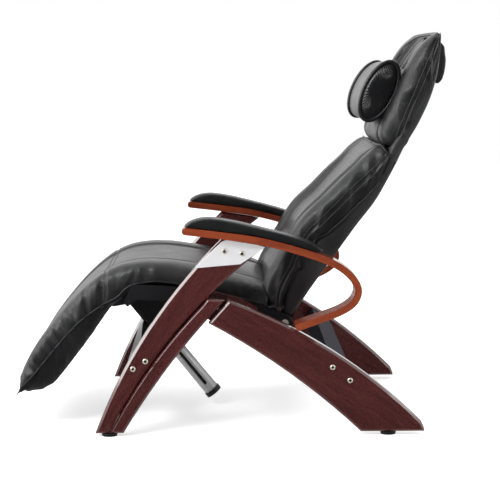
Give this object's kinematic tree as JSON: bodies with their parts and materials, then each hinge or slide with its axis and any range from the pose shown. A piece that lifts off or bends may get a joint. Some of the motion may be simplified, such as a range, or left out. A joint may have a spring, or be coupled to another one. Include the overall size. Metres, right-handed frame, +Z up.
{
  "type": "zero gravity recliner",
  "caption": "Powered recliner chair: bent wooden side frames with loop arms, a tilting seat coupled to a leather back and leg rest, and a sliding head pillow.",
  "frame": {"origin": "on the floor below the middle of the whole chair, in the plane of symmetry of the chair's outline", "axes": "+Z up, -X to where the feet point, +X behind the head, +Y to the sitter's right"},
  "size_m": [1.269, 0.71, 1.1425],
  "materials": {
    "mahogany": "satin lacquered dark red brown wood",
    "cherry": "satin lacquered orange brown bent plywood",
    "leather": "soft black leather, semi gloss",
    "arm_leather": "tight black leather, satin",
    "pillow_leather": "soft black leather with a pale sheen",
    "webbing": "woven black webbing",
    "plywood": "dark stained plywood",
    "bracket": "satin aluminium",
    "rail": "satin aluminium tube",
    "bolts": "polished steel",
    "grey_steel": "light grey powder coat",
    "black_steel": "black powder coat",
    "black_plastic": "matte black moulding",
    "glide": "matte black"
  },
  "bodies": {
    "base": {"left_front_leg": "mahogany", "right_front_leg": "mahogany", "left_leg_brace": "mahogany", "right_leg_brace": "mahogany", "left_rear_leg": "mahogany", "right_rear_leg": "mahogany", "left_leg_batten": "mahogany", "right_leg_batten": "mahogany", "left_arm_bracket": "bracket", "right_arm_bracket": "bracket", "left_arm_loop": "cherry", "right_arm_loop": "cherry", "left_arm_pad": "arm_leather", "right_arm_pad": "arm_leather", "left_front_glide": "glide", "right_front_glide": "glide", "left_rear_glide": "glide", "right_rear_glide": "glide", "left_bracket_bolt_1": "bolts", "left_bracket_bolt_2": "bolts", "right_bracket_bolt_1": "bolts", "right_bracket_bolt_2": "bolts", "left_front_bolt_1": "bolts", "left_front_bolt_2": "bolts", "right_front_bolt_1": "bolts", "right_front_bolt_2": "bolts", "left_rear_bolt_1": "bolts", "left_rear_bolt_2": "bolts", "right_rear_bolt_1": "bolts", "right_rear_bolt_2": "bolts", "front_crossmember": "grey_steel", "rear_crossmember": "black_steel", "actuator_mount": "black_steel", "motor_housing": "black_plastic", "power_inlet": "black_plastic", "rail_tube": "rail", "tube_end_cap": "black_plastic", "lead_screw": "bolts", "left_seat_pivot": "bolts", "right_seat_pivot": "bolts"},
    "seat": {"seat_frame": "black_steel", "seat_board": "plywood", "seat_cushion": "leather", "left_crank_plate": "black_steel", "right_crank_plate": "black_steel", "knee_pad": "leather"},
    "back": {"back_frame": "black_steel", "back_cover": "leather", "back_cushion": "leather", "head_cushion": "leather", "left_back_pivot": "bolts", "right_back_pivot": "bolts", "pillow_strap": "webbing"},
    "leg_rest": {"legrest_frame": "black_steel", "legrest_cushion": "leather"},
    "nut": {"screw_nut": "bolts"},
    "link": {"link_rod": "black_steel"},
    "pillow": {"head_pillow": "pillow_leather"},
    "counterweight": {"pillow_counterweight": "leather"}
  },
  "joints": [
    {"name": "seat_tilt", "type": "hinge", "parent": "base", "child": "seat", "pos_m": [-0.0495, 0, 0.37], "axis": [0, 1, 0], "range_deg": [-3, 15]},
    {"name": "back_recline", "type": "hinge", "parent": "seat", "child": "back", "pos_m": [0.1485, 0, 0.318], "axis": [0, 1, 0], "range_deg": [-4.6, 22.6]},
    {"name": "legrest_lift", "type": "hinge", "parent": "seat", "child": "leg_rest", "pos_m": [-0.3015, 0, 0.383], "axis": [0, 1, 0], "range_deg": [-6.7, 33.1], "deforming": ["knee_pad"]},
    {"name": "nut_slide", "type": "slide", "parent": "base", "child": "nut", "axis": [-0.6252, 0, 0.7804], "range_m": [-0.0114, 0.0563]},
    {"name": "link_slide", "type": "slide", "parent": "seat", "child": "link", "axis": [-0.9821, 0, 0.1885], "range_m": [-0.0053, 0.0261]},
    {"name": "pillow_slide", "type": "slide", "parent": "back", "child": "pillow", "axis": [0.4418, 0, 0.8971], "range_m": [-0.02, 0.05]},
    {"name": "counterweight_slide", "type": "slide", "parent": "back", "child": "counterweight", "axis": [0.18, 0, 0.9837], "range_m": [-0.0502, 0.0202]}
  ],
  "couplings": [
    {"joint": "back_recline", "follows": "seat_tilt", "ratio": 1.5},
    {"joint": "legrest_lift", "follows": "seat_tilt", "ratio": 2.2},
    {"joint": "nut_slide", "follows": "seat_tilt", "m_per_rad": 0.2144},
    {"joint": "link_slide", "follows": "seat_tilt", "m_per_rad": 0.099},
    {"joint": "counterweight_slide", "follows": "pillow_slide", "ratio": -1}
  ]
}
